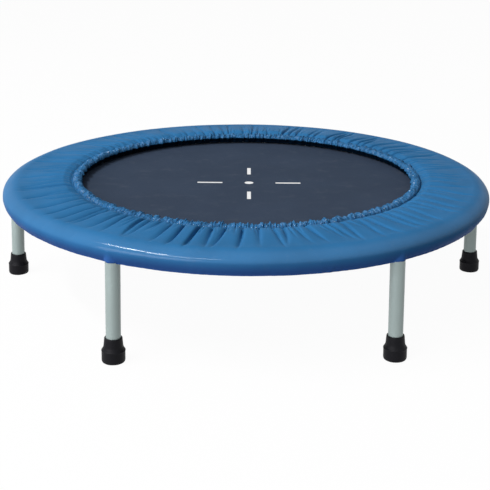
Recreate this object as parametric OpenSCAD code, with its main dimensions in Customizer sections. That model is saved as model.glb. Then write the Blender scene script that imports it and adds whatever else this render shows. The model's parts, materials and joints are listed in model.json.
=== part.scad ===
// Round mini trampoline. A ring of steel tube stands on screw-in legs and
// carries a jumping sheet on tension springs. A padded cover with gathered,
// elasticated edges hides the ring and the springs.

/* [Ring] */
// Diameter of the ring, at the middle of its tube
ring_d = 935; // [860:5:1200]
// Outer diameter of the ring's tube
tube_d = 25.4; // [22:0.2:32]
// Wall of the ring's tube
tube_wall = 1.5; // [1:0.1:2.5]
// Height of the sheet and of the ring's middle above the floor
mat_h = 195; // [170:5:320]

/* [Legs] */
// Lean of each leg outwards from upright, in degrees
leg_splay = 3; // [0:0.5:5]
// Outer diameter of a leg's tube
leg_d = 25.4; // [22:0.2:30]
// Wall of a leg's tube
leg_wall = 1.2; // [1:0.1:2.5]
// Diameter of the threaded stud at the top of a leg
stud_d = 10; // [8:1:12]
// Length of stud that is screwed into the socket
thread_len = 20; // [14:1:24]
// Outer diameter of the threaded socket that is welded into the ring
socket_d = 18; // [15:1:20]
// Distance that a socket stands out below the ring's tube
socket_drop = 4.5; // [3:0.5:8]
// Thickness of the washer between a leg and its socket
washer_t = 1.6; // [1:0.1:3]
// Height of the plug that closes the top of a leg's tube
plug_h = 8; // [5:1:15]

/* [Feet] */
// Diameter of a rubber foot at its base
foot_d = 40; // [36:1:50]
// Height of a rubber foot
foot_h = 43; // [36:1:60]
// Height of the wide base of a foot
foot_base_h = 21; // [14:1:26]
// Height of the sloping shoulder above the base of a foot
foot_shoulder_h = 5; // [3:1:8]
// Wall of a foot's collar at its top
foot_collar_t = 2.3; // [1.5:0.1:4]
// Thickness of rubber under the leg's tube
sole_t = 6; // [4:1:10]

/* [Sheet] */
// Diameter of the jumping sheet, inside its edge band
mat_d = 690; // [684:2:700]
// Thickness of the jumping sheet
mat_t = 1.2; // [0.8:0.1:2]
// Width of the webbing band round the sheet
band_w = 12; // [10:0.5:14]
// Thickness of the folded and sewn webbing band
band_t = 4; // [3:0.5:5]
// Distance from the webbing band's bar to the hooking bar of a V ring
link_len = 22; // [18:1:26]
// Width of a V ring at the webbing
link_w = 28; // [20:1:34]
// Diameter of a V ring's wire
link_wire_d = 3; // [2.5:0.1:3.4]

/* [Springs] */
// Number of springs round the sheet
spring_count = 36; // [24:12:48]
// Outer diameter of a spring's coils
spring_d = 13; // [11:0.5:15]
// Diameter of the spring's wire
wire_d = 2.6; // [2:0.1:3]
// Length of wire between the coils and the bend of a hook
hook_reach = 9; // [7:0.5:11]

/* [Cover] */
// Diameter of the opening in the cover
opening_d = 666; // [660:2:676]
// Thickness of the cover's cloth
cloth_t = 1; // [0.8:0.1:1.4]
// Thickness of the foam pad over the springs
foam_t = 10; // [8:0.5:16]
// Distance that the cover's lower edge hangs below the ring's middle
skirt_drop = 20; // [16:1:26]
// Number of gathers round the opening
gather_count = 48; // [24:12:48]
// Height of the gathers next to the opening
gather_h = 3; // [0.5:0.25:4]
// Diameter of the elastic cord in the gathered hem
elastic_d = 3.5; // [2.5:0.1:4]

/* [Hidden] */
$fn = 64;

// Clearances: a running fit, and loose gaps between soft or moving pieces
thread_clear = 0.05;
soft_clear = 0.3;
hook_clear = 0.5;
cut_extra = 1;

// The ring and what is measured from it
leg_count = 6;
leg_pitch = 360 / leg_count;
ring_r = ring_d / 2;
tube_r = tube_d / 2;
tube_in_r = tube_r - tube_wall;
ring_out_r = ring_r + tube_r;
ring_in_r = ring_r - tube_r;

// A leg, measured down its own axis from the middle of the ring's tube
leg_r = leg_d / 2;
stud_r = stud_d / 2;
socket_z = -tube_r - socket_drop;
socket_top_z = socket_z + thread_len + 2;
leg_top_z = socket_z - washer_t;
floor_z = -mat_h / cos(leg_splay);
foot_r = foot_d / 2;
foot_dip = foot_r * tan(leg_splay);
foot_edge = 3;
foot_bead = 0.4;
foot_bead_h = 1.5;
foot_top_r = leg_r + foot_collar_t;
foot_waist_r = foot_top_r + 1.8;
foot_rim = 0.8;
washer_r = leg_r - 0.5;
washer_hole_r = stud_r + 0.4;

// The sheet, its band, the V rings and the springs, from the middle outwards
mat_r = mat_d / 2;
band_in_r = mat_r + soft_clear;
band_out_r = band_in_r + band_w;
link_base_r = band_in_r + band_w / 2;
link_tip_r = link_base_r + link_len;
link_tip_w = 9;
link_wire_r = link_wire_d / 2;
spring_r = spring_d / 2;
wire_r = wire_d / 2;
hook_r = link_tip_r - link_wire_r - hook_clear - wire_r;
hook_z = link_wire_r + wire_r + 0.2;
coil_in_r = link_tip_r + hook_reach;
coil_out_r = ring_in_r - hook_reach;
hook_tip = 5;
wall_at_tip = sqrt(pow(tube_in_r, 2) - pow(hook_tip, 2));
hook_out_r = ring_r - wall_at_tip + hook_clear + wire_r;
hook_hole_r = wire_r + hook_clear;

// The pad: foam on top of the springs, wrapped in cloth
open_r = opening_d / 2;
foam_z = mat_h + spring_r + hook_clear;
foam_top_z = foam_z + foam_t;
elastic_r = elastic_d / 2;
lip_in_r = open_r + cloth_t;
elastic_ring_r = lip_in_r + elastic_r + 1.3;
foam_in_r = elastic_ring_r + elastic_r + 1;
lip_z = foam_top_z - 3.1;
pad_z = foam_top_z + soft_clear;

// The cover's cloth, from the rim inwards: radius and height of its outer face
seam = [ring_out_r - 1.6, mat_h + 14];
seam_in = [seam[0] - cloth_t, seam[1] - 0.6];
crest = [ring_r + 1.5, pad_z + cloth_t];
crest_in = [ring_r + 1, pad_z];
fade = [open_r + 72, pad_z + cloth_t + 0.2];
swell = [open_r + 27, pad_z + cloth_t + 0.5];
hem_top = [open_r + 5.5, pad_z + cloth_t + 1];
hem_top_in = [open_r + 5.8, pad_z + 1];
lip = [open_r, lip_z];
lip_in = [lip_in_r, lip_z];
tuck = [open_r + 5, foam_z + 1.2];
tuck_in = [open_r + 5.2, foam_z + 1.2 + cloth_t];

// The cover's lower edge stands out and hangs lower where it passes a leg
leg_dip = 1.5;
skirt_z = mat_h - skirt_drop;
edge_r = ring_out_r - 9.7;
leg_edge_r = ring_out_r + 1.4 + cloth_t + (skirt_drop + leg_dip) * tan(leg_splay);
bulge_angle = 3.7;
side_low = [ring_out_r + cloth_t + 0.2, mat_h - 8];
side_high = [ring_out_r + cloth_t + 1, mat_h + 4];

// The cover is a closed loop of points, carried round in even steps
cover_steps = 96;
cover_step_angle = 360 / cover_steps;

// Height of the gathers at an angle, from 0 in a valley to 1 on a fold
function fold(a) = 0.5 + 0.5 * cos(gather_count * a);

// Share of the bulge over a leg at an angle, from 0 between legs to 1 at a leg
function from_leg(a) = abs(a - leg_pitch * round(a / leg_pitch));
function bulge(a) = pow(max(0, 1 - pow(from_leg(a) / bulge_angle, 2)), 2);

// Section of the cover's top panel at an angle
function top_section(a) = [
    seam,
    crest,
    fade + [0, 0.15 * gather_h * fold(a)],
    swell + [0, gather_h * fold(a)],
    hem_top + [0, 0.8 * gather_h * fold(a)],
    lip,
    tuck,
    tuck_in,
    lip_in,
    hem_top_in,
    crest_in,
    seam_in
];

// Section of the cover's skirt at an angle
function edge_at(a) = edge_r + (leg_edge_r - edge_r) * bulge(a);
function edge_z_at(a) = skirt_z - leg_dip * bulge(a);
function low_at(a) = max(side_low[0], side_low[0] + (leg_edge_r - side_low[0]) * 0.6 * bulge(a));
function skirt_section(a) = [
    [edge_at(a), edge_z_at(a)],
    [low_at(a), side_low[1]],
    side_high,
    seam,
    seam_in,
    side_high - [cloth_t, 0.2],
    [low_at(a) - cloth_t, side_low[1]],
    [edge_at(a) - cloth_t, edge_z_at(a) + 0.3]
];

// Places one child in the axes of leg k, with the origin in the ring's tube
module at_leg(k) {
    rotate([0, 0, k * leg_pitch])
        translate([ring_r, 0, mat_h])
            rotate([0, -leg_splay, 0])
                children();
}

// Places one child at each spring, on the sheet's plane and facing outwards
module at_springs() {
    for (s = [0:spring_count - 1])
        rotate([0, 0, (s + 0.5) * 360 / spring_count])
            translate([0, 0, mat_h])
                children();
}

// A straight wire along +X from radius a to radius b
module wire_out(a, b, r, z = 0) {
    translate([a, 0, z])
        rotate([0, 90, 0])
            cylinder(r = r, h = b - a, $fn = 8);
}

// A closed skin: each section is a loop of [radius, height] at one angle. The loop's
// sides from inner to the one before last are split like the outer ones that they back
module carried_round(sections, inner = 1000) {
    n = len(sections);
    m = len(sections[0]);
    spots = [
        for (i = [0:n - 1])
            for (p = sections[i])
                [p[0] * cos(i * 360 / n), p[0] * sin(i * 360 / n), p[1]]
    ];
    sides = [
        for (i = [0:n - 1])
            for (j = [0:m - 1])
                let (i2 = (i + 1) % n, j2 = (j + 1) % m)
                    each j < inner || j == m - 1 ? [
                        [i * m + j, i * m + j2, i2 * m + j2],
                        [i * m + j, i2 * m + j2, i2 * m + j]
                    ] : [
                        [i * m + j, i * m + j2, i2 * m + j],
                        [i2 * m + j, i * m + j2, i2 * m + j2]
                    ]
    ];
    polyhedron(points = spots, faces = sides, convexity = 6);
}

// Ring of round tube, drilled for the spring hooks and for the leg sockets
module frame_ring() {
    color("silver")
        difference() {
            translate([0, 0, mat_h])
                rotate_extrude()
                    translate([ring_r, 0])
                        difference() {
                            circle(r = tube_r);
                            circle(r = tube_in_r);
                        }
            at_springs()
                translate([ring_in_r - cut_extra, 0, 0])
                    rotate([0, 90, 0])
                        cylinder(r = hook_hole_r, h = tube_r, $fn = 16);
            for (k = [0:leg_count - 1])
                at_leg(k)
                    translate([0, 0, socket_z - cut_extra])
                        cylinder(d = socket_d, h = socket_top_z - socket_z + cut_extra);
        }
}

// Threaded socket for one leg, welded through the bottom of the ring
module leg_socket(k) {
    color("silver")
        at_leg(k)
            translate([0, 0, socket_z])
                difference() {
                    cylinder(d = socket_d, h = socket_top_z - socket_z);
                    translate([0, 0, -cut_extra])
                        cylinder(r = stud_r + thread_clear, h = thread_len + 2 + 2 * cut_extra);
                }
}

// Flat washer between one leg and its socket
module leg_washer(k) {
    color("gainsboro")
        at_leg(k)
            translate([0, 0, leg_top_z])
                difference() {
                    cylinder(r = washer_r, h = washer_t);
                    translate([0, 0, -cut_extra])
                        cylinder(r = washer_hole_r, h = washer_t + 2 * cut_extra);
                }
}

// Plug that closes the top of one leg's tube, with its threaded stud
module leg_stud(k) {
    color("gainsboro")
        at_leg(k)
            union() {
                translate([0, 0, leg_top_z - plug_h])
                    cylinder(r = leg_r - leg_wall, h = plug_h);
                translate([0, 0, leg_top_z - plug_h])
                    cylinder(r = stud_r, h = plug_h + washer_t + thread_len);
            }
}

// Tube of one leg, from the washer down into the foot
module leg_tube(k) {
    color("silver")
        at_leg(k)
            translate([0, 0, floor_z + sole_t])
                difference() {
                    cylinder(r = leg_r, h = leg_top_z - floor_z - sole_t);
                    translate([0, 0, -cut_extra])
                        cylinder(r = leg_r - leg_wall, h = leg_top_z - floor_z - sole_t + 2 * cut_extra);
                }
}

// Rubber foot of one leg, with a flat sole on the floor
module foot(k) {
    color("black")
        difference() {
            at_leg(k)
                translate([0, 0, floor_z])
                    rotate_extrude()
                        foot_profile();
            rotate([0, 0, k * leg_pitch])
                translate([ring_r - foot_d, -foot_d, -foot_d])
                    cube([3 * foot_d, 2 * foot_d, foot_d]);
        }
}

// Half section of a foot: base, shoulder and collar round the tube's pocket
module foot_profile() {
    polygon([
        [0, -foot_dip],
        [foot_r - foot_edge, -foot_dip],
        [foot_r - 0.3 * foot_edge, 0.3 * foot_edge],
        [foot_r, foot_edge],
        [foot_r, foot_base_h - foot_bead_h],
        [foot_r + foot_bead, foot_base_h - foot_bead_h / 2],
        [foot_r, foot_base_h],
        [foot_waist_r, foot_base_h + foot_shoulder_h],
        [foot_top_r, foot_h - foot_rim],
        [foot_top_r - foot_rim, foot_h],
        [leg_r, foot_h],
        [leg_r, sole_t],
        [0, sole_t]
    ]);
}

// Round jumping sheet
module mat_sheet() {
    color("dimgray")
        translate([0, 0, mat_h - mat_t / 2])
            cylinder(r = mat_r, h = mat_t);
}

// Folded webbing band round the edge of the sheet
module mat_webbing() {
    color("black")
        translate([0, 0, mat_h - band_t / 2])
            difference() {
                cylinder(r = band_out_r, h = band_t);
                translate([0, 0, -cut_extra])
                    cylinder(r = band_in_r, h = band_t + 2 * cut_extra);
            }
}

// Outline of a V ring, grown or shrunk by half its wire
module link_outline(grow) {
    polygon([
        [link_base_r - grow, -link_w / 2 - grow],
        [link_base_r - grow, link_w / 2 + grow],
        [link_tip_r + grow, link_tip_w / 2 + grow],
        [link_tip_r + grow, -link_tip_w / 2 - grow]
    ]);
}

// Wire V rings, one in the webbing at each spring
module v_rings() {
    color("silver")
        at_springs()
            translate([0, 0, -link_wire_r])
                linear_extrude(link_wire_d)
                    difference() {
                        link_outline(link_wire_r);
                        link_outline(-link_wire_r);
                    }
}

// Tension springs: plain closed coils with a hook at each end
module springs() {
    color("gainsboro")
        at_springs()
            union() {
                translate([coil_in_r, 0, 0])
                    rotate([0, 90, 0])
                        cylinder(r = spring_r, h = coil_out_r - coil_in_r, $fn = 12);
                wire_out(hook_r, coil_in_r + wire_d, wire_r, hook_z);
                translate([hook_r, 0, -link_wire_r - 1])
                    cylinder(r = wire_r, h = hook_z + link_wire_r + 1 + wire_r, $fn = 8);
                wire_out(coil_out_r - wire_d, hook_out_r, wire_r);
                translate([hook_out_r, 0, -hook_tip])
                    cylinder(r = wire_r, h = hook_tip + wire_r, $fn = 8);
            }
}

// Foam ring over the springs and over the top of the ring's tube
module foam_pad() {
    color("white")
        difference() {
            translate([0, 0, foam_z])
                difference() {
                    cylinder(r = ring_r, h = foam_t);
                    translate([0, 0, -cut_extra])
                        cylinder(r = foam_in_r, h = foam_t + 2 * cut_extra);
                }
            translate([0, 0, mat_h])
                rotate_extrude()
                    translate([ring_r, 0])
                        circle(r = tube_r);
        }
}

// Top of the cover, gathered round the opening and folded under the foam
module cover_top() {
    color("steelblue")
        carried_round([for (i = [0:cover_steps - 1]) top_section(i * cover_step_angle)]);
}

// Side of the cover, drawn in under the ring and bulging over each leg
module cover_skirt() {
    color("steelblue")
        carried_round(
            [for (i = [0:cover_steps - 1]) skirt_section(i * cover_step_angle)],
            inner = 4
        );
}

// Elastic cord inside the gathered hem
module hem_elastic() {
    color("white")
        translate([0, 0, lip_z])
            rotate_extrude()
                translate([elastic_ring_r, 0])
                    circle(r = elastic_r);
}

frame_ring();
foam_pad();
cover_top();
cover_skirt();
hem_elastic();
springs();
v_rings();
mat_webbing();
mat_sheet();
for (k = [1:6]) {
    leg_socket(k);
    leg_washer(k);
    leg_stud(k);
    leg_tube(k);
    foot(k);
}
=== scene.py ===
"""Round mini trampoline: its cover, sheet, springs, coat and rubber, over its fixed frame."""

import json
import math

import bpy
import numpy as np
from bpy.props import FloatProperty, FloatVectorProperty, IntProperty, PointerProperty
from mathutils import Matrix, Vector


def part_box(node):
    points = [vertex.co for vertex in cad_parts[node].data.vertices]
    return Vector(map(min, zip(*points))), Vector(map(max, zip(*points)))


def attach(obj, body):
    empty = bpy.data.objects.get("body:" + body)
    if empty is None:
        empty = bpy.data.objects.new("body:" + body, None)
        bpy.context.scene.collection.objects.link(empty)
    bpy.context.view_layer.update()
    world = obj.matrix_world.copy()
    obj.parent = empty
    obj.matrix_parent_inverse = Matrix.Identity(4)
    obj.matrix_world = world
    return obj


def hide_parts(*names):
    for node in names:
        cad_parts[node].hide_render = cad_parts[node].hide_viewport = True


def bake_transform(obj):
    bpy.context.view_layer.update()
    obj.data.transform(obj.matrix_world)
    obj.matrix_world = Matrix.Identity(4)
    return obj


bl_info = {
    "name": "Mini Trampoline",
    "version": (1, 0, 0),
    "blender": (4, 5, 0),
    "location": "View3D > Sidebar > Trampoline",
    "description": "Makes the cover, sheet, springs, legs and feet of a round mini trampoline",
    "category": "Object",
}

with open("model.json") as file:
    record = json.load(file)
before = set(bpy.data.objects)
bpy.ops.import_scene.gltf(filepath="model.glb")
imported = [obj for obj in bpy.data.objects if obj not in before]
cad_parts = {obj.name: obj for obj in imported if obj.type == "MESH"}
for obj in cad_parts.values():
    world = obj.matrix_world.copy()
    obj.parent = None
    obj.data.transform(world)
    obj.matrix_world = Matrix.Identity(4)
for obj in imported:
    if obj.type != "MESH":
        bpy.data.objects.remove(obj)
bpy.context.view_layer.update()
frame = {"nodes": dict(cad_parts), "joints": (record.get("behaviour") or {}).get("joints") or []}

MM = 0.001
SPRING_COUNT = 36
LEG_COUNT = 6
FULL_TURN = 2 * math.pi
WHITE = (1, 1, 1, 1)


# ---- sizes taken from the frame


def node_box(node):
    """Lowest and highest corner of a node of the frame."""
    low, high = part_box(node)
    return np.array(low), np.array(high)


RING_BOX = node_box("frame_ring")
TUBE_R = (RING_BOX[1][2] - RING_BOX[0][2]) / 2
RING_R = RING_BOX[1][0] - TUBE_R
PLANE_Z = RING_BOX[1][2] - TUBE_R
SHEET_R = node_box("mat_sheet")[1][0]
BAND_BOX = node_box("mat_webbing")
BAND_OUT_R = BAND_BOX[1][0]
BAND_T = BAND_BOX[1][2] - BAND_BOX[0][2]
RINGS_BOX = node_box("v_rings")
RING_WIRE_R = (RINGS_BOX[1][2] - RINGS_BOX[0][2]) / 2
FOAM_BOX = node_box("foam_pad")
ELASTIC_BOX = node_box("hem_elastic")
ELASTIC_R = (ELASTIC_BOX[1][2] - ELASTIC_BOX[0][2]) / 2
ELASTIC_RING_R = ELASTIC_BOX[1][0] - ELASTIC_R
ELASTIC_Z = ELASTIC_BOX[1][2] - ELASTIC_R
SKIRT_BOX = node_box("cover_skirt")
LEG_JOINT = next(joint for joint in frame["joints"] if joint["name"] == "leg_6_unscrew")
LEG_LEAN = math.atan2(LEG_JOINT["axis"][0], -LEG_JOINT["axis"][2])


# ---- settings a user would change


def colour_setting(name, description, default):
    return FloatVectorProperty(
        name=name, description=description, subtype="COLOR", size=3, default=default, min=0, max=1
    )


def length_setting(name, description, default, low, high):
    """A length, given in millimetres."""
    return FloatProperty(
        name=name, description=description, subtype="DISTANCE", unit="LENGTH",
        default=default * MM, min=low * MM, max=high * MM,
    )


def count_setting(name, description, default, low, high):
    return IntProperty(name=name, description=description, default=default, min=low, max=high)


def share_setting(name, description, default):
    return FloatProperty(name=name, description=description, default=default, min=0, max=1)


def power_setting(name, description, default):
    return FloatProperty(
        name=name, description=description, subtype="POWER", unit="POWER",
        default=default, min=0, max=900,
    )


class CoverSettings(bpy.types.PropertyGroup):
    """The padded cover over the springs."""

    cloth: colour_setting("Cloth", "Colour of the coated cloth", (0.03, 0.158, 0.35))
    folds: count_setting("Folds", "Folds that the gathered hem draws into the cover", 100, 24, 160)
    fold_depth: length_setting("Fold depth", "Depth of the deepest folds", 11.5, 0, 11.5)
    puckers: count_setting("Puckers", "Small gathers in the elastic hem", 350, 100, 800)
    rim_round: length_setting("Rim rounding", "Reach of the rounded rim over the top", 32, 8, 40)


class SheetSettings(bpy.types.PropertyGroup):
    """The jumping sheet and what is sewn to it."""

    weave: colour_setting("Weave", "Colour of the woven sheet", (0.045, 0.064, 0.101))
    mark: colour_setting("Mark", "Colour of the printed cross", (0.95, 0.96, 0.96))
    thread: length_setting("Thread", "Distance from one thread to the next", 1.3, 0.5, 4)
    dash_length: length_setting("Dash length", "Length of each bar of the cross", 51, 10, 150)
    dash_width: length_setting("Dash width", "Width of each bar of the cross", 7.5, 2, 30)
    sag: length_setting("Sag", "How far the middle of the sheet hangs below its edge", 2, 1, 5)


class SteelSettings(bpy.types.PropertyGroup):
    """Springs, rings, legs and feet."""

    coat: colour_setting("Coat", "Colour of the coated steel tube", (0.35, 0.43, 0.415))
    rubber: colour_setting("Rubber", "Colour of the feet", (0.006, 0.006, 0.008))
    wire: length_setting("Spring wire", "Thickness of the wire of a spring", 2.6, 1.5, 3)
    turns: count_setting("Turns", "Turns of each spring", 23, 8, 24)


class StudioSettings(bpy.types.PropertyGroup):
    """Floor and light."""

    floor: colour_setting("Floor", "Colour of the floor", (0.93, 0.93, 0.93))
    bounce: share_setting("Bounce", "Share of its colour that the floor throws back", 0.28)
    sky: share_setting("Sky", "Strength of the light from all round", 0.26)
    key: power_setting("Key", "Power of the lamp above on the left", 162)
    fill: power_setting("Fill", "Power of the lamp in front on the left", 300)


# ---- finishes


def node_sum(operation, swapped=False):
    """A method that works out one sum on a socket, and on another value where it takes one."""

    def method(self, *others):
        values = (*others, self) if swapped else (self, *others)
        return self.nodes.add("ShaderNodeMath", {"operation": operation}, dict(enumerate(values)))

    return method


class Wire:
    """A socket of a node tree, on which sums are written as on a number."""

    __add__ = __radd__ = node_sum("ADD")
    __sub__ = node_sum("SUBTRACT")
    __rsub__ = node_sum("SUBTRACT", swapped=True)
    __mul__ = __rmul__ = node_sum("MULTIPLY")
    __pow__ = node_sum("POWER")
    __lt__ = node_sum("LESS_THAN")
    __gt__ = node_sum("GREATER_THAN")
    __abs__ = node_sum("ABSOLUTE")
    sine = node_sum("SINE")
    fraction = node_sum("FRACT")
    most = node_sum("MAXIMUM")

    def __init__(self, nodes, socket):
        self.nodes = nodes
        self.socket = socket

    def step(self, low, high):
        """0 up to low, 1 from high on, and smooth between them."""
        settings = {"interpolation_type": "SMOOTHSTEP"}
        sockets = {"Value": self, "From Min": low, "From Max": high}
        return self.nodes.add("ShaderNodeMapRange", settings, sockets)


class Nodes:
    """The nodes of a material or of the sky."""

    def __init__(self, owner, output):
        owner.use_nodes = True
        self.tree = owner.node_tree
        self.tree.nodes.clear()
        self.output = self.tree.nodes.new(output)

    def plug(self, value, socket):
        if isinstance(value, Wire):
            self.tree.links.new(value.socket, socket)
        else:
            socket.default_value = value

    def add(self, kind, settings, inputs, output=0):
        """Adds a node: its settings, then the values or wires of its sockets. Returns an output."""
        node = self.tree.nodes.new(kind)
        for name, value in settings.items():
            setattr(node, name, value)
        for name, value in inputs.items():
            self.plug(value, node.inputs[name])
        return Wire(self, node.outputs[output])

    def show(self, shader):
        """Makes a shader the one that is seen."""
        self.plug(shader, self.output.inputs["Surface"])

    def looked_at(self):
        """1 for what is seen, mirrored or behind something clear, 0 for what only lights."""
        rays = ("Is Camera Ray", "Is Glossy Ray", "Is Transmission Ray")
        seen, mirrored, through = (self.add("ShaderNodeLightPath", {}, {}, ray) for ray in rays)
        return seen.most(mirrored).most(through)


class Finish(Nodes):
    """A material made of nodes round one Principled shader."""

    def __init__(self, name, **constants):
        self.material = bpy.data.materials.new(name)
        super().__init__(self.material, "ShaderNodeOutputMaterial")
        self.shader = self.tree.nodes.new("ShaderNodeBsdfPrincipled")
        self.show(Wire(self, self.shader.outputs["BSDF"]))
        self.feed(**constants)

    def feed(self, **values):
        """Feeds sockets of the shader, such as Base_Color, Roughness or Normal."""
        for name, value in values.items():
            self.plug(value, self.shader.inputs[name.replace("_", " ")])

    def point(self):
        return self.add("ShaderNodeTexCoord", {}, {}, "Object")

    def axes(self):
        """The place on the piece along X, Y and Z, in metres."""
        point = self.point()
        return [self.add("ShaderNodeSeparateXYZ", {}, {"Vector": point}, axis) for axis in "XYZ"]

    def noise(self, scale, detail, rough):
        """Noise from 0 to 1, with so many lumps in a metre."""
        sockets = {"Vector": self.point(), "Scale": scale, "Detail": detail, "Roughness": rough}
        return self.add("ShaderNodeTexNoise", {}, sockets, "Fac")

    def cells(self, scale):
        """Distance to the middle of the nearest random cell, with so many cells in a metre."""
        sockets = {"Vector": self.point(), "Scale": scale}
        return self.add("ShaderNodeTexVoronoi", {}, sockets, "Distance")

    def blend(self, share, first, second):
        """A colour between two colours."""
        sockets = {"Factor": share, 6: first, 7: second}
        return self.add("ShaderNodeMix", {"data_type": "RGBA"}, sockets, 2)

    def bump(self, height, distance, strength=1.0, under=None):
        """A normal bent by a height from 0 to 1 that stands for a distance in metres."""
        sockets = {"Height": height, "Distance": distance, "Strength": strength}
        if under is not None:
            sockets["Normal"] = under
        return self.add("ShaderNodeBump", {}, sockets, "Normal")


def tone(colour, factor=1.0):
    """A colour for a socket, made lighter or darker."""
    return [min(1.0, c * factor) for c in tuple(colour)[:3]] + [1.0]


def coated_cloth(name, colour):
    """Cloth with a plastic coat: matt, worn, a bit glossy on rim and hem, painted near black as
    shade inside the hem, with painted shade in the hem's creases and low on the skirt, and painted
    highlights on the hem's crests.
    """
    rim_gloss, worn_gloss, hem_gloss = 0.1, 0.025, 0.04
    crumple_depth, grain_depth = 5.0 * MM, 0.06 * MM
    # Painted highlight: lighter colour on the crests of the hem's crumples.
    painted_crest_highlight = tone([1.1 * c + 0.1 for c in colour])
    # Painted shade: darker colour in the creases of the hem's crumples.
    painted_crease_shade = tone(colour, 0.42)
    worn_colour = tone([0.5 * c + 0.28 for c in colour])
    # Painted shade: a darker, more violet tint for the skirt's shaded lower part.
    painted_low_shade_colour = tone([1.25 * colour[0], 0.5 * colour[1], 1.05 * colour[2]])
    # Painted shade: near black for the hem's lower inner face, which lies in shade.
    painted_hem_shade_colour = tone(colour, 0.045)
    finish = Finish(name, Specular_IOR_Level=0.0075, Coat_Roughness=0.12, Coat_IOR=2.6)
    x, y, z = finish.axes()
    radius = (x * x + y * y) ** 0.5
    stretched = radius.step(RIM_R - 24 * MM, RIM_R - 9 * MM) * z.step(PLANE_Z, PLANE_Z + 9 * MM)
    gathered = 1 - radius.step(SEAM_R - 3 * MM, SEAM_R + 2 * MM)
    inside = 4.4 * MM * (1 - radius.step(ELASTIC_RING_R + 5 * MM, ELASTIC_RING_R + 10 * MM))
    # Where the hem's lower inner face is painted near black as shade.
    painted_hem_shade = gathered * (1 - (z - inside).step(ELASTIC_Z - 4.6 * MM, ELASTIC_Z - 2.6 * MM))
    # Darker towards the skirt's lower edge, where the shade tint is painted.
    hanging = 1 - z.step(EDGE_Z + 2 * MM, PLANE_Z + 10 * MM)
    crumpled = finish.noise(150, 3.0, 0.6)
    grain = finish.noise(1500, 2.0, 0.6)
    weave = finish.noise(420, 1.0, 0.4)
    cloudy = finish.noise(9, 3.0, 0.6)
    worn = finish.noise(60, 4.0, 0.7).step(0.55, 0.8)
    base = finish.blend(cloudy.step(0.3, 0.7), tone(colour, 0.93), tone(colour, 1.07))
    layers = (
        (worn * 0.06, worn_colour),
        # Painted shade: violet tint low on the skirt.
        (hanging * 0.6, painted_low_shade_colour),
        # Painted highlights on the crumples' crests.
        (gathered * crumpled.step(0.52, 0.66) * 0.5, painted_crest_highlight),
        # Painted shade in the crumples' creases.
        (gathered * (1 - crumpled.step(0.38, 0.48)) * 0.65, painted_crease_shade),
        # Painted shade: the hem's lower inner face near black.
        (painted_hem_shade, painted_hem_shade_colour),
    )
    for share, over in layers:
        base = finish.blend(share, base, over)
    fine = finish.bump(grain * 0.6 + weave * 0.4, grain_depth, 0.5)
    gloss = stretched * (rim_gloss - worn_gloss * worn) + hem_gloss * gathered
    finish.feed(
        Base_Color=base,
        Roughness=0.42 + 0.08 * worn + 0.06 * (grain - 0.5),
        Coat_Weight=gloss * (1 - painted_hem_shade),
        Normal=finish.bump(gathered * crumpled, crumple_depth, under=fine),
    )
    return finish


def coated_steel(name, colour):
    """Steel tube with a thin baked coat: slight orange peel, small specks and rubbed patches."""
    finish = Finish(name, Specular_IOR_Level=0.5)
    peel = finish.noise(700, 2.0, 0.5)
    speck = finish.cells(420)
    dust = finish.noise(35, 4.0, 0.65).step(0.45, 0.8)
    base = finish.blend(dust * 0.35, tone(colour), tone(colour, 1.18))
    base = finish.blend((speck < 0.09) * 0.25, base, tone(colour, 0.55))
    finish.feed(
        Base_Color=base,
        Roughness=0.34 + 0.14 * dust,
        Metallic=0.25,
        Normal=finish.bump(peel, 0.05 * MM, 0.4),
    )
    return finish


def bare_steel(name):
    """Zinc-plated steel: bright, drawn along its length, with dull patches."""
    finish = Finish(name, Metallic=1.0)
    drawn = finish.noise(900, 2.0, 0.5)
    dull = finish.noise(45, 4.0, 0.7).step(0.4, 0.75)
    finish.feed(
        Base_Color=finish.blend(dull, (0.62, 0.63, 0.64, 1), (0.42, 0.43, 0.43, 1)),
        Roughness=0.24 + 0.2 * dull,
        Normal=finish.bump(drawn, 0.03 * MM, 0.4),
    )
    return finish


def foot_rubber(name, colour):
    """Moulded black rubber: fine grain, dusty in patches."""
    finish = Finish(name, Specular_IOR_Level=0.12)
    grain = finish.noise(1300, 3.0, 0.6)
    dust = finish.noise(70, 5.0, 0.7).step(0.5, 0.85)
    finish.feed(
        Base_Color=finish.blend(dust * 0.5, tone(colour), tone([c + 0.01 for c in colour])),
        Roughness=0.5 + 0.2 * dust,
        Normal=finish.bump(grain, 0.08 * MM, 0.6),
    )
    return finish


def foam_finish(name):
    """Closed-cell foam: pale, with small cells."""
    finish = Finish(name, Roughness=0.85, Specular_IOR_Level=0.25)
    cell = finish.cells(380)
    stain = finish.noise(14, 3.0, 0.6).step(0.4, 0.8)
    base = finish.blend(stain * 0.5, (0.82, 0.82, 0.8, 1), (0.7, 0.69, 0.65, 1))
    finish.feed(Base_Color=base, Normal=finish.bump(cell, 0.4 * MM, 0.6))
    return finish


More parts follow.
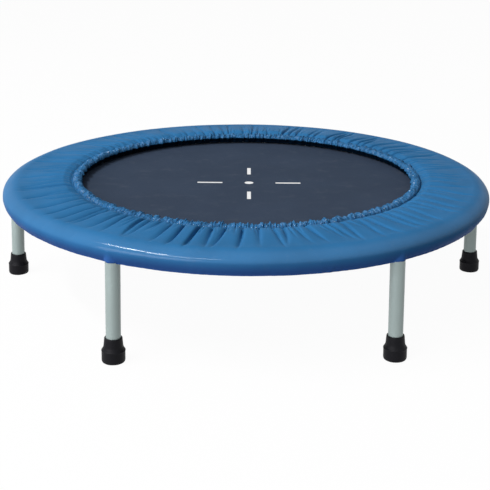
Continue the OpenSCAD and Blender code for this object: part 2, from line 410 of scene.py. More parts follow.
def webbing_finish(name):
    """Black woven band: ribs across it, with a slight sheen."""
    finish = Finish(name, Roughness=0.72, Specular_IOR_Level=0.3)
    x, y, _ = finish.axes()
    angle = finish.add("ShaderNodeMath", {"operation": "ARCTAN2"}, {0: y, 1: x})
    radius = (x * x + y * y) ** 0.5
    rib_pitch, row_pitch = 1.1 * MM, 1.5 * MM
    rib = (angle * (BAND_OUT_R / rib_pitch) * FULL_TURN).sine()
    rib = rib * (radius * (FULL_TURN / row_pitch)).sine()
    fluff = finish.noise(500, 3.0, 0.6)
    black, worn = (0.014, 0.014, 0.018, 1), (0.035, 0.035, 0.042, 1)
    base = finish.blend(fluff.step(0.4, 0.75) * 0.6, black, worn)
    finish.feed(Base_Color=base, Normal=finish.bump(0.5 + 0.35 * rib + 0.3 * fluff, 0.25 * MM, 0.7))
    return finish


def thread_finish(name, colour):
    """Twisted sewing thread."""
    finish = Finish(name, Roughness=0.6, Specular_IOR_Level=0.35)
    twist = finish.noise(2600, 1.0, 0.5)
    base = finish.blend(twist.step(0.35, 0.65), tone(colour, 0.8), tone(colour, 1.15))
    finish.feed(Base_Color=base, Normal=finish.bump(twist, 0.1 * MM, 0.6))
    return finish


def sheet_finish(name, settings):
    """Woven sheet: flat threads over and under, with painted shade in the hollows between them, and
    a printed cross that skips the hollows.
    """
    finish = Finish(name, Specular_IOR_Level=0.005)
    x, y, _ = finish.axes()
    across, along = x * (1 / settings.thread), y * (1 / settings.thread)
    across_share, along_share = across.fraction(), along.fraction()
    warp = abs((across_share - 0.5) * 2)
    weft = abs((along_share - 0.5) * 2)
    over = (((across - across_share) + (along - along_share)) * 0.5).fraction() > 0.25
    crown = over * (1 - warp * warp) + (1 - over) * (1 - weft * weft)
    fibre = finish.noise(2400, 2.0, 0.6)
    cloudy = finish.noise(7, 3.0, 0.6)
    dusty = finish.noise(26, 4.0, 0.7).step(0.5, 0.85)
    # The third colour is painted shade for the weave's hollows.
    darker, lighter, painted_hollow_shade = (tone(settings.weave, factor) for factor in (0.95, 1.05, 0.55))
    cloth = finish.blend(cloudy.step(0.3, 0.7), darker, lighter)
    # Painted shade: darker where the threads' crowns fall away.
    cloth = finish.blend((1 - crown) * 0.35, cloth, painted_hollow_shade)
    cloth = finish.blend(dusty * 0.08, cloth, (0.3, 0.31, 0.33, 1))
    underside = finish.add("ShaderNodeNewGeometry", {}, {}, "Backfacing")
    cross = printed_cross(x, y, settings) * (1 - underside)
    skipped = cross * (1 - 0.35 * (1 - crown).step(0.75, 1.0))
    finish.feed(
        Base_Color=finish.blend(skipped, cloth, tone(settings.mark)),
        Roughness=0.62 - 0.1 * crown + 0.06 * fibre,
        Normal=finish.bump(crown * 0.8 + fibre * 0.2, 0.22 * MM, 0.55),
    )
    return finish


def printed_cross(x, y, settings):
    """1 inside the four bars and the dot of the cross, which is turned a little, 0 outside."""
    slant, shift = math.radians(-2.3), 4.5 * MM
    u = x * math.cos(slant) + y * math.sin(slant) - shift
    v = y * math.cos(slant) - x * math.sin(slant)
    half, soft = settings.dash_width / 2, 0.4 * MM
    gap_across, gap_along, dot_r = 54.5 * MM, 64.5 * MM, 9 * MM
    mask = None
    for long_way, wide_way, gap in ((u, v, gap_across), (v, u, gap_along)):
        inner = abs(long_way).step(gap - soft, gap + soft)
        end = gap + settings.dash_length
        outer = 1 - abs(long_way).step(end - soft, end + soft)
        bar = inner * outer * (1 - abs(wide_way).step(half - soft, half + soft))
        mask = bar if mask is None else mask.most(bar)
    dot = 1 - ((u * u + v * v) ** 0.5).step(dot_r - soft, dot_r + soft)
    return mask.most(dot)


# ---- mesh making


def strip_faces(rows, columns, closed_rows, closed_columns):
    """Four-sided faces over a grid of points, as rows of four numbers."""
    row = np.arange(rows if closed_rows else rows - 1)[:, None]
    column = np.arange(columns if closed_columns else columns - 1)[None, :]
    next_row, next_column = (row + 1) % rows, (column + 1) % columns
    corners = [row * columns + column, next_row * columns + column]
    corners += [next_row * columns + next_column, row * columns + next_column]
    return np.stack(corners, -1).reshape(-1, 4)


def grid_mesh(*grids, closed_rows=False, closed_columns=False):
    """A smooth mesh over one or more grids of points [row][column][xyz]."""
    points, faces, start = [], [], 0
    for grid in grids:
        rows, columns = grid.shape[:2]
        points.append(grid.reshape(-1, 3))
        faces.append(strip_faces(rows, columns, closed_rows, closed_columns) + start)
        start += rows * columns
    points, faces = np.concatenate(points), np.concatenate(faces)
    mesh = bpy.data.meshes.new("grid")
    mesh.vertices.add(len(points))
    mesh.vertices.foreach_set("co", points.astype(np.float32).ravel())
    mesh.loops.add(faces.size)
    mesh.loops.foreach_set("vertex_index", faces.astype(np.int32).ravel())
    mesh.polygons.add(len(faces))
    mesh.polygons.foreach_set("loop_start", np.arange(0, faces.size, 4, dtype=np.int32))
    mesh.polygons.foreach_set("use_smooth", np.ones(len(faces), bool))
    mesh.update(calc_edges=True)
    mesh.validate()
    return mesh


def new_object(name, data):
    """An object that is in the scene, and whose data have its name."""
    data.name = name
    made = bpy.data.objects.new(name, data)
    bpy.context.scene.collection.objects.link(made)
    return made


def make_piece(name, mesh, finish, replaced=()):
    """An object with its finish and the nodes that it stands for."""
    piece = new_object(name, mesh)
    mesh.materials.append(finish.material)
    if replaced:
        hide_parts(*replaced)
    return piece


def dress(nodes, finish):
    """Gives nodes of the frame their finish."""
    for node in nodes:
        mesh = frame["nodes"][node].data
        mesh.materials.clear()
        mesh.materials.append(finish.material)


def curve_through(corners, steps=12):
    """Points on a smooth curve through the corners."""
    p = np.asarray(corners, float)
    p = np.vstack([2 * p[0] - p[1], p, 2 * p[-1] - p[-2]])
    t = np.linspace(0, 1, steps, endpoint=False)[:, None]
    spans = []
    for a, b, c, d in zip(p[:-3], p[1:-2], p[2:-1], p[3:]):
        square, cube = 2 * a - 5 * b + 4 * c - d, 3 * b - a - 3 * c + d
        spans.append(0.5 * (2 * b + (c - a) * t + square * t**2 + cube * t**3))
    return np.vstack([*spans, p[-2:-1]])


def spaced(line, count):
    """Points at even steps along a line."""
    travelled = np.concatenate([[0], np.cumsum(np.linalg.norm(np.diff(line, axis=0), axis=1))])
    stops = np.linspace(0, travelled[-1], count)
    return np.stack([np.interp(stops, travelled, line[:, k]) for k in range(line.shape[1])], 1)


def round_angles(count):
    """So many even angles round the ring."""
    return np.arange(count) * FULL_TURN / count


def turned_round(radius, height, angles):
    """Points [angle][place] from the radii and heights of one section, or of one for each angle."""
    radius, height = np.broadcast_arrays(radius, height)
    if radius.ndim == 1:
        radius = np.broadcast_to(radius, (len(angles), len(radius)))
        height = np.broadcast_to(height, radius.shape)
    c, s = np.cos(angles)[:, None], np.sin(angles)[:, None]
    return np.stack([radius * c, radius * s, height], -1)


def wire_along(path, radius, sides, closed=False):
    """Points [place][side] of a round wire along a path."""
    path = np.asarray(path, float)
    along = np.roll(path, -1, 0) - np.roll(path, 1, 0) if closed else np.gradient(path, axis=0)
    along /= np.linalg.norm(along, axis=1)[:, None]
    side = np.array([0.0, 0.0, 1.0]) if abs(along[0][2]) < 0.8 else np.array([0.0, 1.0, 0.0])
    sideways = np.empty_like(path)
    for place, direction in enumerate(along):
        side = side - direction * (side @ direction)
        side = side / np.linalg.norm(side)
        sideways[place] = side
    upwards = np.cross(along, sideways)
    angles = round_angles(sides)[None, :, None]
    rim = np.cos(angles) * sideways[:, None] + np.sin(angles) * upwards[:, None]
    return path[:, None] + radius * rim


def turn(points, angle):
    """Points turned about the upright axis."""
    c, s = math.cos(angle), math.sin(angle)
    return points @ np.array([[c, s, 0], [-s, c, 0], [0, 0, 1]])


def angle_off(angles, middle):
    """Angles from a middle, from minus to plus half a turn."""
    return (angles - middle + math.pi) % FULL_TURN - math.pi


def spring_angle(number):
    return (number + 0.5) * FULL_TURN / SPRING_COUNT


def at_leg(points, number):
    """Points given along a leg's own axis, from the middle of the ring's tube, put at that leg."""
    c, s = math.cos(LEG_LEAN), math.sin(LEG_LEAN)
    x = points[..., 0] * c - points[..., 2] * s + RING_R
    z = points[..., 0] * s + points[..., 2] * c + PLANE_Z
    return turn(np.stack([x, points[..., 1], z], -1), number * FULL_TURN / LEG_COUNT)


def smooth_step(x, low, high):
    t = np.clip((x - low) / (high - low), 0, 1)
    return t * t * (3 - 2 * t)


def from_nearest(angles, count):
    """Angle to the nearest of so many even stations, the first of them at 0."""
    pitch = FULL_TURN / count
    return np.abs(angles - pitch * np.round(angles / pitch))


# ---- the cover

SEAM_R = ELASTIC_RING_R + 14 * MM
TOP_Z = FOAM_BOX[1][2] + 4.2 * MM
RIM_R = RING_R + TUBE_R + 2.0 * MM
EDGE_R = SKIRT_BOX[1][0] - 13.2 * MM
EDGE_Z = SKIRT_BOX[0][2] + 0.6 * MM
LEG_R = 12.7 * MM
ROLL_R, ROLL_PLACES = 1.9 * MM, 12
RIM_Z = TOP_Z - 18.2 * MM


def cover_section(rim_round):
    """Radius and height of the cover's outer face, from the rolled lower edge to the hem's seam."""
    flare, rim_in, rim_up, dive_bend = 1.9, 1.1, 1.08, 1.4
    roll_angle = np.radians(np.linspace(-200, 8, ROLL_PLACES))
    roll_r = EDGE_R - 0.2 * MM + ROLL_R * np.cos(roll_angle)
    roll_z = EDGE_Z + ROLL_R + ROLL_R * np.sin(roll_angle)
    rise = np.linspace(0.1, 1, 22)
    side_z = roll_z[-1] + (RIM_Z - roll_z[-1]) * rise
    side_r = RIM_R - (RIM_R - roll_r[-1]) * (1 - rise) ** flare
    bend = np.radians(np.linspace(4, 90, 32))
    rim_r = RIM_R - rim_round * (1 - np.cos(bend) ** rim_in)
    rim_top_z = RIM_Z + (TOP_Z - RIM_Z) * np.sin(bend) ** rim_up
    top_r = np.linspace(rim_r[-1], SEAM_R, 62)[1:]
    dive_depth, dive_length = 4.0 * MM, 7 * MM
    dive = smooth_step(SEAM_R + dive_length - top_r, 0, dive_length)
    top_z = TOP_Z - dive_depth * dive**dive_bend
    section_r = np.concatenate([roll_r, side_r, rim_r, top_r])
    return section_r, np.concatenate([roll_z, side_z, rim_top_z, top_z])


def leg_wrap(angles, section_r, section_z):
    """How far the legs push the hanging cloth outwards, for each angle and place of the section."""
    off = from_nearest(angles, LEG_COUNT)[:, None]
    axis_r = RING_R + math.tan(LEG_LEAN) * (PLANE_Z - section_z)[None, :]
    reach = LEG_R + 0.7 * MM
    tent_slope, softness, no_leg = 1.3, 1.8 * MM, -1.0
    aside = axis_r * np.sin(off)
    front = axis_r * np.cos(off) + np.sqrt(np.clip(reach**2 - aside**2, 0, None))
    front = front - tent_slope * np.clip(aside - reach, 0, None)
    push = np.where(section_z < PLANE_Z + 4 * MM, front - section_r, no_leg)
    return (push + np.sqrt(push**2 + softness**2)) / 2


def uneven_fit(angles):
    """How much too wide rim and lower edge hang where the cover has slipped a little."""

    def lump(size, middle, width):
        off = angle_off(angles, math.radians(middle))
        return size * MM * np.exp(-((off / math.radians(width)) ** 2))

    return lump(2.9, 172, 34), lump(4.6, 194, 20) + lump(3.2, 345, 18)


def fold_relief(angles, radius, settings, random):
    """How far the gathers lift (+) or sink (-) the cover's top, for each angle and radius.

    Each set of folds has a count, then the least and most of its length in millimetres, its depth
    as a share, its steep and its gentle side in millimetres, and how far from the seam it starts.
    """
    deepest_at, window, merging = -2.3, 0.16, 2.2
    scatter, same_way, swell_height = 0.36, 0.93, 4.2 * MM
    outward = radius[None, :] - SEAM_R
    at_seam = 0.45 + 0.55 * smooth_step(outward, 0, 9 * MM)
    angle = angles[:, None]
    gathered = np.zeros((len(angles), len(radius)))
    sets = (
        (settings.folds, (62, 152), (0.5, 1.0), (2.0, 3.6), (4.2, 8.0), 0.0),
        (settings.folds * 2, (16, 66), (0.1, 0.36), (1.1, 2.2), (2.2, 4.6), 22.0),
    )
    for count, lengths, depths, steep, gentle, spread in sets:
        place = (np.arange(count) + random.uniform(-scatter, scatter, count)) * FULL_TURN / count
        size = random.beta(1.8, 1.4, count)
        long = (lengths[0] + (lengths[1] - lengths[0]) * size) * MM
        share = depths[0] + (depths[1] - depths[0]) * size
        deep = settings.fold_depth * share * random.uniform(0.75, 1.05, count)
        from_deepest = place - deepest_at
        deep *= 0.86 + 0.2 * np.cos(from_deepest) + 0.14 * np.cos(2 * from_deepest)
        slant = random.normal(0.02, 0.07, count)
        bend = random.normal(0, 0.7, count)
        side = np.where(random.random(count) < same_way, 1.0, -1.0)
        sharp = random.uniform(*steep, count) * MM
        broad = random.uniform(*gentle, count) * MM
        start = random.uniform(0, 1, count) * spread * MM
        for i in range(count):
            near = np.abs(angle_off(angles, place[i])) < window
            run = (outward - start[i]) / long[i]
            drift = slant[i] * outward + bend[i] * outward**2
            off = angle_off(angle[near], place[i]) * radius[None, :] - drift
            passed = np.clip(run, 0, 1)
            width = np.where(off * side[i] > 0, sharp[i], broad[i]) * (0.65 + 0.9 * passed)
            across = (1 + np.abs(off / width) ** 1.5) ** -1.8
            head = smooth_step(run, -0.25, 0.12) if spread else at_seam
            tail = (1 - passed**1.9) ** 1.4
            gathered[near] += (deep[i] * across * head * tail) ** merging
    sunk = gathered ** (1 / merging)
    swell = swell_height * smooth_step(outward, 3 * MM, 19 * MM)
    return swell * (1 - smooth_step(outward, 24 * MM, 96 * MM)) - sunk


def slow_waves(angles, random, count, lowest, highest, depth):
    """A smooth random wave round the ring, mostly less deep than so many millimetres."""
    turns = random.integers(lowest, highest, count)
    start = random.uniform(0, FULL_TURN, count)
    wave = np.sin(angles[:, None] * turns + start).sum(1) / count**0.5
    return wave[:, None] * depth * MM


class TRAMPOLINE_OT_cover(bpy.types.Operator):
    """Makes the coated cloth over the springs, with its gathered folds, and the puckered hem"""

    bl_idname = "trampoline.cover"
    bl_label = "Cover"

    def execute(self, context):
        settings = context.scene.trampoline_cover
        random = np.random.default_rng(7)
        cloth = coated_cloth("coated_cloth", settings.cloth)
        hem = self.make_hem(settings, random, cloth)
        cover = self.make_cover(settings, random, cloth)
        thread = self.make_stitches(random)
        return {"FINISHED"}

    def make_cover(self, settings, random, cloth):
        """The cloth from its rolled lower edge over the rim to the hem's seam."""
        angles = round_angles(2160)
        section_r, section_z = cover_section(settings.rim_round)
        radius = np.tile(section_r, (len(angles), 1))
        height = np.tile(section_z, (len(angles), 1))
        below = 1 - smooth_step(section_z, EDGE_Z + 2 * MM, TOP_Z - 12 * MM)
        rim_slack, edge_slack = uneven_fit(angles)
        hanging = smooth_step(section_r, SEAM_R, RIM_R)
        radius += rim_slack[:, None] * hanging + edge_slack[:, None] * below
        wrap = leg_wrap(angles, radius, section_z)
        wrap[:, :ROLL_PLACES] = wrap[:, ROLL_PLACES:ROLL_PLACES + 1]
        radius += wrap
        drawn_in = slow_waves(angles, random, 9, 14, 60, 0.35)
        pulled = slow_waves(angles, random, 14, 90, 230, 0.22)
        radius += drawn_in * below + pulled * below**3
        side = np.clip((section_z - EDGE_Z) / (TOP_Z - EDGE_Z), 0, 1)
        side = side * (section_r > RIM_R - settings.rim_round)
        radius += slow_waves(angles, random, 8, 5, 24, 0.5) * side
        top = (section_r < RIM_R - 12 * MM) & (section_z > PLANE_Z + 8 * MM)
        relief = fold_relief(angles, section_r[top], settings, random)
        fade = 1 - smooth_step(section_r[top], RIM_R - 48 * MM, RIM_R - 14 * MM)
        loose = slow_waves(angles, random, 24, 30, 150, 0.14)
        height[:, top] += (relief + loose) * fade
        mesh = grid_mesh(turned_round(radius, height, angles), closed_rows=True)
        cover = make_piece("pad_cover", mesh, cloth, ("cover_top", "cover_skirt"))
        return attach(cover, "frame")

    def make_hem(self, settings, random, cloth):
        """The casing round the elastic: a finely gathered roll, tucked under at the opening."""
        places = [
            (16.6, -1.0), (15.2, 0.6), (13.4, 3.2), (10.4, 6.4), (6.4, 8.6), (2.2, 9.0),
            (-1.2, 7.2), (-3.3, 4.2), (-4.1, 0.9), (-3.7, -2.0), (-2.0, -4.2), (0.2, -5.4),
            (1.6, -6.9), (2.2, -9.2), (3.6, -11.0), (6.6, -11.5), (16.0, -11.3),
        ]
        section = np.array(places) * MM + [ELASTIC_RING_R, ELASTIC_Z]
        section = spaced(curve_through(section), 48)
        outward = np.gradient(section, axis=0)
        outward = np.stack([outward[:, 1], -outward[:, 0]], 1)
        outward /= -np.linalg.norm(outward, axis=1)[:, None]
        angles = round_angles(3600)
        window, scatter, swell = 0.022, 0.42, 2.2 * MM
        way = np.linspace(0, 1, len(section))
        puckered = smooth_step(way, 0.0, 0.12) * (1 - smooth_step(way, 0.5, 0.78))
        sunk = np.zeros((len(angles), len(section)))
        for share, depth, narrow in ((0.36, 5.0, 2.7), (1.0, 4.8, 1.6), (2.0, 3.2, 1.0)):
            count = int(settings.puckers * share)
            jitter = random.uniform(-scatter, scatter, count)
            place = (np.arange(count) + jitter) * FULL_TURN / count
            deep = random.uniform(0.35, 1.0, count) * depth * MM
            lean = random.normal(1.5, 1.5, count) * MM
            centre = random.uniform(0.05, 0.5, count)
            spread = random.uniform(0.12, 0.34, count)
            wide = random.uniform(0.7, 1.3, count) * narrow * MM
            for i in range(count):
                off = angle_off(angles, place[i])
                near = np.abs(off) < window
                across = off[near][:, None] * ELASTIC_RING_R - lean[i] * (way[None, :] - 0.3) * 3
                reach = np.exp(-(((way - centre[i]) / spread[i]) ** 2))
                sunk[near] += (deep[i] * reach * (1 + (across / wide[i]) ** 2) ** -1.2) ** 2
        relief = (swell - sunk**0.5) * puckered
        radius = section[:, 0] + relief * outward[:, 0]
        height = section[:, 1] + relief * outward[:, 1]
        up_and_down = slow_waves(angles, random, 16, 40, 130, 1.2)
        height += up_and_down * (1 - smooth_step(way, 0.5, 0.8))
        in_and_out = slow_waves(angles, random, 16, 40, 150, 1.3)
        radius += in_and_out * smooth_step(way, 0.1, 0.4)
        mesh = grid_mesh(turned_round(radius, height, angles), closed_rows=True)
        hem = make_piece("hem_casing", mesh, cloth, ("hem_elastic",))
        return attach(hem, "frame")

    def make_stitches(self, random):
        """A row of stitches in the groove where the casing is sewn to the cover."""
        count, thread_r = 540, 0.26 * MM
        shape = [
            (-1.35, -0.5), (-1.15, 0.05), (-0.5, 0.32), (0.5, 0.32), (1.15, 0.05), (1.35, -0.5),
        ]
        wires = []
        for number in range(count):
            angle = (number + random.uniform(-0.08, 0.08)) * FULL_TURN / count
            radius = SEAM_R - 0.1 * MM + random.uniform(-0.15, 0.15) * MM
            path = [(radius, y * MM, ELASTIC_Z + 0.6 * MM + z * MM) for y, z in shape]
            wires.append(turn(wire_along(path, thread_r, 6), angle))
        finish = thread_finish("blue_thread", (0.05, 0.2, 0.45))
        mesh = grid_mesh(*wires, closed_columns=True)
        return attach(make_piece("hem_stitching", mesh, finish), "frame")


class TRAMPOLINE_OT_padding(bpy.types.Operator):
    """Makes the foam ring that lies on the springs under the cover"""

    bl_idname = "trampoline.padding"
    bl_label = "Padding"

    def execute(self, context):
        low, high = FOAM_BOX[0][2], FOAM_BOX[1][2]
        inner, outer = ELASTIC_RING_R + ELASTIC_R + 1.2 * MM, RING_R
        places = [
            (inner, 6.5, low, -2.6), (inner, 3.4, low, -2.1), (inner, 2.0, low, -0.6),
            (inner, 2.6, low, 1.2), (inner, 6, low, 2), (inner, 14, low, 3), (inner, 50, low, 4),
            (outer, -50, low, 6), (outer, -28, high, -3.2), (outer, -12, high, -1.4),
            (outer, -3, high, -2.4), (outer, -0.6, high, -3.6), (outer, -3, high, -4.4),
            (outer, -9, low, 2.6), (outer, -16, low, 0.2), (outer, -40, low, 0),
            (outer, -80, low, 0), (inner, 33, low, -0.3), (inner, 24, low, -2),
            (inner, 16, low, -2.6),
        ]
        corners = [(edge + x * MM, face + z * MM) for edge, x, face, z in places]
        section = spaced(curve_through(corners + corners[:1]), 120)[:-1]
        points = turned_round(section[:, 0], section[:, 1], round_angles(360))
        mesh = grid_mesh(points, closed_rows=True, closed_columns=True)
        foam = make_piece("foam_ring", mesh, foam_finish("pale_foam"), ("foam_pad",))
        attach(foam, "frame")
        return {"FINISHED"}


# ---- the sheet, its band and rings

BAND_GAP = 0.3 * MM
BASE_R = (SHEET_R + BAND_GAP + BAND_OUT_R) / 2
TIP_R = BASE_R + 22 * MM


class TRAMPOLINE_OT_sheet(bpy.types.Operator):
    """Makes the woven jumping sheet, which hangs a little"""

    bl_idname = "trampoline.sheet"
    bl_label = "Jumping sheet"

    def execute(self, context):
        settings = context.scene.trampoline_sheet
        outer_r, middle_r, side_places = SHEET_R + 4 * MM, 45 * MM, 97
        eighth = FULL_TURN / 8
        line = np.linspace(-1, 1, side_places)
        a, b = np.meshgrid(line, line, indexing="ij")
        first = np.abs(a) > np.abs(b)
        with np.errstate(divide="ignore", invalid="ignore"):
            angle = np.where(first, eighth * b / a, 2 * eighth - eighth * a / b)
        angle = np.nan_to_num(angle)
        radius = np.where(first, a, b) * outer_r
        share = 1 - np.clip((np.abs(radius) - middle_r) / (SHEET_R - middle_r), 0, 1)
        hang = np.sin(share * math.pi / 2)
        top_z = PLANE_Z + 0.3 * MM
        height = top_z - settings.sag * hang
        points = np.stack([radius * np.cos(angle), radius * np.sin(angle), height], -1)
        mesh = grid_mesh(points)
        finish = sheet_finish("woven_sheet", settings)
        sheet = make_piece("jumping_sheet", mesh, finish, ("mat_sheet",))
        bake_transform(sheet)
        return {"FINISHED"}


class TRAMPOLINE_OT_edge(bpy.types.Operator):
    """Makes the sewn band round the sheet and the wire rings that the springs hook into"""

    bl_idname = "trampoline.edge"
    bl_label = "Band and rings"

    def execute(self, context):
        self.make_band()
        self.make_rings()
        return {"FINISHED"}

    def make_band(self):
        """A folded band that swells over each ring's bar, with rows of stitches on both faces."""
        angles, corner = round_angles(1440), round_angles(28)
        middle, half_w, half_t = BASE_R, (BAND_OUT_R - SHEET_R - BAND_GAP) / 2, BAND_T / 2
        seam, stitch_count, thread_r = 4.1 * MM, 420, 0.28 * MM
        c, s = np.cos(corner), np.sin(corner)
        square_edge, square_face = 0.45, 0.6
        across = half_w * np.sign(c) * np.abs(c) ** square_edge
        above = half_t * np.sign(s) * np.abs(s) ** square_face
        reach = from_nearest(angles - spring_angle(0), SPRING_COUNT) * middle
        over_bar = 1 - smooth_step(reach, 12 * MM, 16 * MM)
        thick = 0.72 + 0.26 * over_bar[:, None] * np.exp(-((across / (2.6 * MM)) ** 2))
        seams = 1 - 0.16 * np.exp(-(((np.abs(across) - seam) / (0.5 * MM)) ** 2))
        points = turned_round(middle + across, PLANE_Z + above * seams * thick, angles)
        mesh = grid_mesh(points, closed_rows=True, closed_columns=True)
        finish = webbing_finish("black_webbing")
        band = make_piece("edge_band", mesh, finish, ("mat_webbing",))
        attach(band, "mat_edge")
        stitches, sunk = [], half_t * 0.66
        shape = [(-1.5, -0.3), (-1.2, 0.1), (0, 0.28), (1.2, 0.1), (1.5, -0.3)]
        for radius in (middle - seam, middle + seam):
            for face in (1, -1):
                path = [(radius, y * MM, PLANE_Z + face * (sunk + z * MM)) for y, z in shape]
                stitch = wire_along(path, thread_r, 5)
                stitches += [turn(stitch, angle) for angle in round_angles(stitch_count)]
        mesh = grid_mesh(*stitches, closed_columns=True)
        finish = thread_finish("grey_thread", (0.3, 0.31, 0.33))
        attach(make_piece("band_stitching", mesh, finish), "mat_edge")

    def make_rings(self):
        """Rings of round wire, wide in the band's loop and narrow at the hook."""
        half_base, half_tip, corner = 14 * MM, 4.5 * MM, 2.4 * MM
        shape = [(BASE_R, -half_base), (BASE_R, half_base), (TIP_R, half_tip), (TIP_R, -half_tip)]
        path = []
        for i, here in enumerate(shape):
            here, before, after = (np.array(shape[(i + k) % 4]) for k in (0, -1, 1))
            start = here + (before - here) * corner / np.linalg.norm(before - here)
            end = here + (after - here) * corner / np.linalg.norm(after - here)
            t = np.linspace(0, 1, 7)[:, None]
            path.append((1 - t) ** 2 * start + 2 * t * (1 - t) * here + t**2 * end)
        path = np.vstack(path)
        path = np.column_stack([path, np.full(len(path), PLANE_Z)])
        wires = [
            turn(wire_along(path, RING_WIRE_R, 12, closed=True), spring_angle(number))
            for number in range(SPRING_COUNT)
        ]
        mesh = grid_mesh(*wires, closed_rows=True, closed_columns=True)
        finish = bare_steel("ring_steel")
        rings = make_piece("v_rings_wire", mesh, finish, ("v_rings",))
        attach(rings, "mat_edge")


# ---- springs, legs and feet


class TRAMPOLINE_OT_springs(bpy.types.Operator):
    """Makes the coiled tension springs, each hooked into a ring and into the tube"""

    bl_idname = "trampoline.springs"
    bl_label = "Springs"

    def execute(self, context):
        settings = context.scene.trampoline_steel
        wire_r = settings.wire / 2
        coil_r = 6.5 * MM - wire_r
        hook_length, coil_places, cap_share = 9 * MM, 20, 1e-3
        start, end = TIP_R + hook_length, RING_R - TUBE_R - hook_length
        hook_z = RING_WIRE_R + wire_r + 0.2 * MM
        hook_in = TIP_R - RING_WIRE_R - wire_r - 0.5 * MM
        hook_out = RING_R - 8.22 * MM
        t = np.linspace(0, settings.turns, settings.turns * coil_places + 1)
        coil = np.stack(
            [start + wire_r + (end - start - 2 * wire_r) * t / settings.turns,
             -coil_r * np.sin(t * FULL_TURN), coil_r * np.cos(t * FULL_TURN)], 1,
        )
        inner = [
            (hook_in, 0, -3.6 * MM), (hook_in, 0, -1.2 * MM), (hook_in + 0.1 * MM, 0, 1.2 * MM),
            (hook_in + 1.1 * MM, 0, hook_z - 0.1 * MM), (hook_in + 3 * MM, 0, hook_z + 0.1 * MM),
            (start - 4 * MM, 0, hook_z), (start - 1.6 * MM, 0.4 * MM, hook_z + 0.6 * MM),
        ]
        outer = [
            (end + 1.4 * MM, 1.2 * MM, coil_r * 0.62), (end + 3.4 * MM, 0.3 * MM, 0.6 * MM),
            (end + 6 * MM, 0, 0), (hook_out - 4 * MM, 0, 0), (hook_out - 1.2 * MM, 0, -0.2 * MM),
            (hook_out - 0.1 * MM, 0, -1.4 * MM), (hook_out, 0, -3 * MM), (hook_out, 0, -5 * MM),
        ]
        steps = 6
        head = curve_through([*inner, coil[0], coil[3]], steps)[:-steps - 1]
        tail = curve_through([coil[-4], coil[-1], *outer], steps)[steps + 1:]
        path = np.vstack([head, coil, tail]) + [0, 0, PLANE_Z]
        wire = wire_along(path, wire_r, 8)
        caps = [path[[tip]][:, None] + (wire[[tip]] - path[tip]) * cap_share for tip in (0, -1)]
        wire = np.concatenate([caps[0], wire, caps[1]])
        steel = bare_steel("spring_steel")
        for number in range(SPRING_COUNT):
            angle = spring_angle(number)
            name = f"spring_{number + 1:02d}"
            mesh = grid_mesh(turn(wire, angle), closed_columns=True)
            spring = make_piece(name, mesh, steel, ("springs",))
            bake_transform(spring)
        return {"FINISHED"}


class TRAMPOLINE_OT_steelwork(bpy.types.Operator):
    """Gives the ring, sockets, washers, studs and leg tubes their coat and plating"""

    bl_idname = "trampoline.steelwork"
    bl_label = "Ring and legs"

    def execute(self, context):
        settings = context.scene.trampoline_steel
        coat = coated_steel("grey_coat", settings.coat)
        plated = bare_steel("plated_steel")
        dress(["frame_ring"], coat)
        for number in range(1, LEG_COUNT + 1):
            dress([f"leg_tube_{number}", f"leg_socket_{number}"], coat)
            dress([f"leg_washer_{number}", f"leg_stud_{number}"], plated)
        return {"FINISHED"}


class TRAMPOLINE_OT_feet(bpy.types.Operator):
    """Makes the moulded rubber feet over the legs' ends"""

    bl_idname = "trampoline.feet"
    bl_label = "Feet"

    def execute(self, context):
        rubber = foot_rubber("black_rubber", context.scene.trampoline_steel.rubber)
        down = -PLANE_Z / math.cos(LEG_LEAN)
        corners = [
            (0.3, -1.2), (9, -1.2), (16.2, -1.2), (18.4, -0.6), (19.6, 1.2), (20.0, 3.6),
            (20.0, 9), (20.0, 15), (20.02, 18.6), (20.25, 19.3), (20.45, 19.9), (20.3, 20.6),
            (19.85, 21.2), (19.1, 22.1), (18.1, 24), (17.2, 25.9), (16.75, 27.3), (16.4, 30),
            (15.95, 35), (15.6, 39), (15.35, 41.2), (15.1, 42.4), (14.5, 43.0), (13.6, 43.05),
            (12.95, 42.6), (12.72, 41.6), (12.6, 38),
        ]
        section = spaced(curve_through(np.array(corners) * MM, 10), 96)
        shape = turned_round(section[:, 0], section[:, 1] + down, round_angles(96))
        for number in range(1, LEG_COUNT + 1):
            points = at_leg(shape, number)
            points[..., 2] = np.maximum(points[..., 2], 0)
            name = f"foot_boot_{number}"
            mesh = grid_mesh(points, closed_rows=True)
            foot = make_piece(name, mesh, rubber, (f"foot_{number}",))
            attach(foot, f"leg_{number}")
        return {"FINISHED"}


# ---- stage and camera


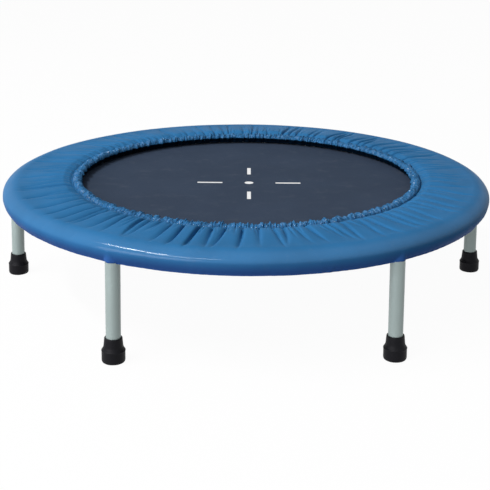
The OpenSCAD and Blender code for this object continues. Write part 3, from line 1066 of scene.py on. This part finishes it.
class TRAMPOLINE_OT_studio(bpy.types.Operator):
    """Sets up the pale floor, the soft light and the camera"""

    bl_idname = "trampoline.studio"
    bl_label = "Floor, light and camera"

    def execute(self, context):
        settings = context.scene.trampoline_studio
        context.scene.view_settings.view_transform = "Standard"
        self.make_floor(settings)
        self.make_sky(context, settings)
        key, strip, fill = settings.key, 0.22 * settings.key, settings.fill
        white, cool = (1.0, 1.0, 1.0), (0.98, 0.95, 1.0)
        lamps = (
            ("key_softbox", (-2.95, -1.1, 4.55), (0, 0, 0.2), (2.8, 0.22), key, white),
            ("strip_softbox", (-1.9, -2.95, 4.27), (0, 0, 0.2), (1.9, 0.22), strip, white),
            ("fill_softbox", (-4.9, -4.9, 2.2), (0, 0, 0.15), (6.0, 4.0), fill, cool),
        )
        for lamp in lamps:
            self.make_lamp(*lamp)
        self.make_camera(context)
        return {"FINISHED"}

    def make_floor(self, settings):
        """A floor that is white to the eye, dimmer as a light, and clear from below."""
        half_side, shadow_share = 14.0, 0.04
        side = np.array([-half_side, half_side])
        x, y = np.meshgrid(side, side, indexing="ij")
        mesh = grid_mesh(np.stack([x, y, np.zeros_like(x)], -1))
        finish = Finish("pale_floor", Roughness=0.9, Specular_IOR_Level=0.1)
        mottled = finish.noise(3, 2.0, 0.5)
        path = finish.looked_at()
        pale = finish.blend(mottled * 0.2, tone(settings.floor), tone(settings.floor, 0.98))
        finish.feed(Base_Color=finish.blend(path, tone(settings.floor, settings.bounce), pale))
        glow = finish.add("ShaderNodeEmission", {}, {"Color": WHITE, "Strength": 1.0})
        lit = Wire(finish, finish.shader.outputs["BSDF"])
        path = path * (1 - shadow_share)
        seen = finish.add("ShaderNodeMixShader", {}, {0: path, 1: lit, 2: glow})
        below = finish.add("ShaderNodeNewGeometry", {}, {}, "Backfacing")
        clear = finish.add("ShaderNodeBsdfTransparent", {}, {})
        seen = finish.add("ShaderNodeMixShader", {}, {0: below, 1: seen, 2: clear})
        finish.show(seen)
        mesh.materials.append(finish.material)
        new_object("studio_floor", mesh)

    def make_sky(self, context, settings):
        """A sky that is white to the eye and in reflections, and dimmer as a light."""
        world = bpy.data.worlds.new("studio_sky")
        context.scene.world = world
        nodes = Nodes(world, "ShaderNodeOutputWorld")
        dim, bright = (
            nodes.add("ShaderNodeBackground", {}, {"Color": WHITE, "Strength": strength})
            for strength in (settings.sky, 1.0)
        )
        nodes.show(nodes.add("ShaderNodeMixShader", {}, {0: nodes.looked_at(), 1: dim, 2: bright}))

    def make_lamp(self, name, place, target, size, power, colour):
        """A rectangular lamp at a place, turned to a target; its size in metres, power in watts."""
        light = bpy.data.lights.new(name, "AREA")
        light.shape = "RECTANGLE"
        light.size, light.size_y = size
        light.energy = power
        light.color = colour
        lamp = new_object(name, light)
        lamp.location = place
        lamp.rotation_euler = (Vector(target) - Vector(place)).to_track_quat("-Z", "Y").to_euler()

    def make_camera(self, context):
        """The camera: its place in metres, its lens in millimetres and its angles in radians."""
        place, lens, sensor = (-0.0731, -1.8089, 0.7067), 67.26, 36
        heading, dip, roll = -0.0390044, 0.3443, 0.0087
        camera = new_object("camera", bpy.data.cameras.new("camera"))
        camera.data.sensor_width = sensor
        camera.data.lens = lens
        camera.data.clip_end = 60
        camera.data.dof.use_dof = False
        level = Vector((-math.sin(heading), math.cos(heading), 0))
        ahead = level * math.cos(dip) - Vector((0, 0, math.sin(dip)))
        right = ahead.cross(Vector((0, 0, 1))).normalized()
        turned = Matrix((right, right.cross(ahead), -ahead)).transposed()
        turned = turned @ Matrix.Rotation(roll, 3, "Z")
        camera.matrix_world = Matrix.Translation(place) @ turned.to_4x4()
        context.scene.camera = camera


# ---- panel and start

SETTINGS = {
    "trampoline_cover": CoverSettings,
    "trampoline_sheet": SheetSettings,
    "trampoline_steel": SteelSettings,
    "trampoline_studio": StudioSettings,
}
OPERATORS = (
    TRAMPOLINE_OT_cover,
    TRAMPOLINE_OT_padding,
    TRAMPOLINE_OT_edge,
    TRAMPOLINE_OT_sheet,
    TRAMPOLINE_OT_springs,
    TRAMPOLINE_OT_steelwork,
    TRAMPOLINE_OT_feet,
    TRAMPOLINE_OT_studio,
)


class TRAMPOLINE_PT_panel(bpy.types.Panel):
    """Lists the pieces and their settings"""

    bl_idname = "TRAMPOLINE_PT_panel"
    bl_label = "Mini Trampoline"
    bl_space_type = "VIEW_3D"
    bl_region_type = "UI"
    bl_category = "Trampoline"

    def draw(self, context):
        for name, group in SETTINGS.items():
            box = self.layout.box()
            for setting in group.__annotations__:
                box.prop(getattr(context.scene, name), setting)
        for operator in OPERATORS:
            self.layout.operator(operator.bl_idname)


CLASSES = (*SETTINGS.values(), *OPERATORS, TRAMPOLINE_PT_panel)


def register():
    for kind in CLASSES:
        bpy.utils.register_class(kind)
    for name, group in SETTINGS.items():
        setattr(bpy.types.Scene, name, PointerProperty(type=group))


def unregister():
    for name in SETTINGS:
        delattr(bpy.types.Scene, name)
    for kind in reversed(CLASSES):
        bpy.utils.unregister_class(kind)


def main():
    register()
    for operator in OPERATORS:
        group, name = operator.bl_idname.split(".")
        getattr(getattr(bpy.ops, group), name)()


if __name__ == "__main__":
    main()
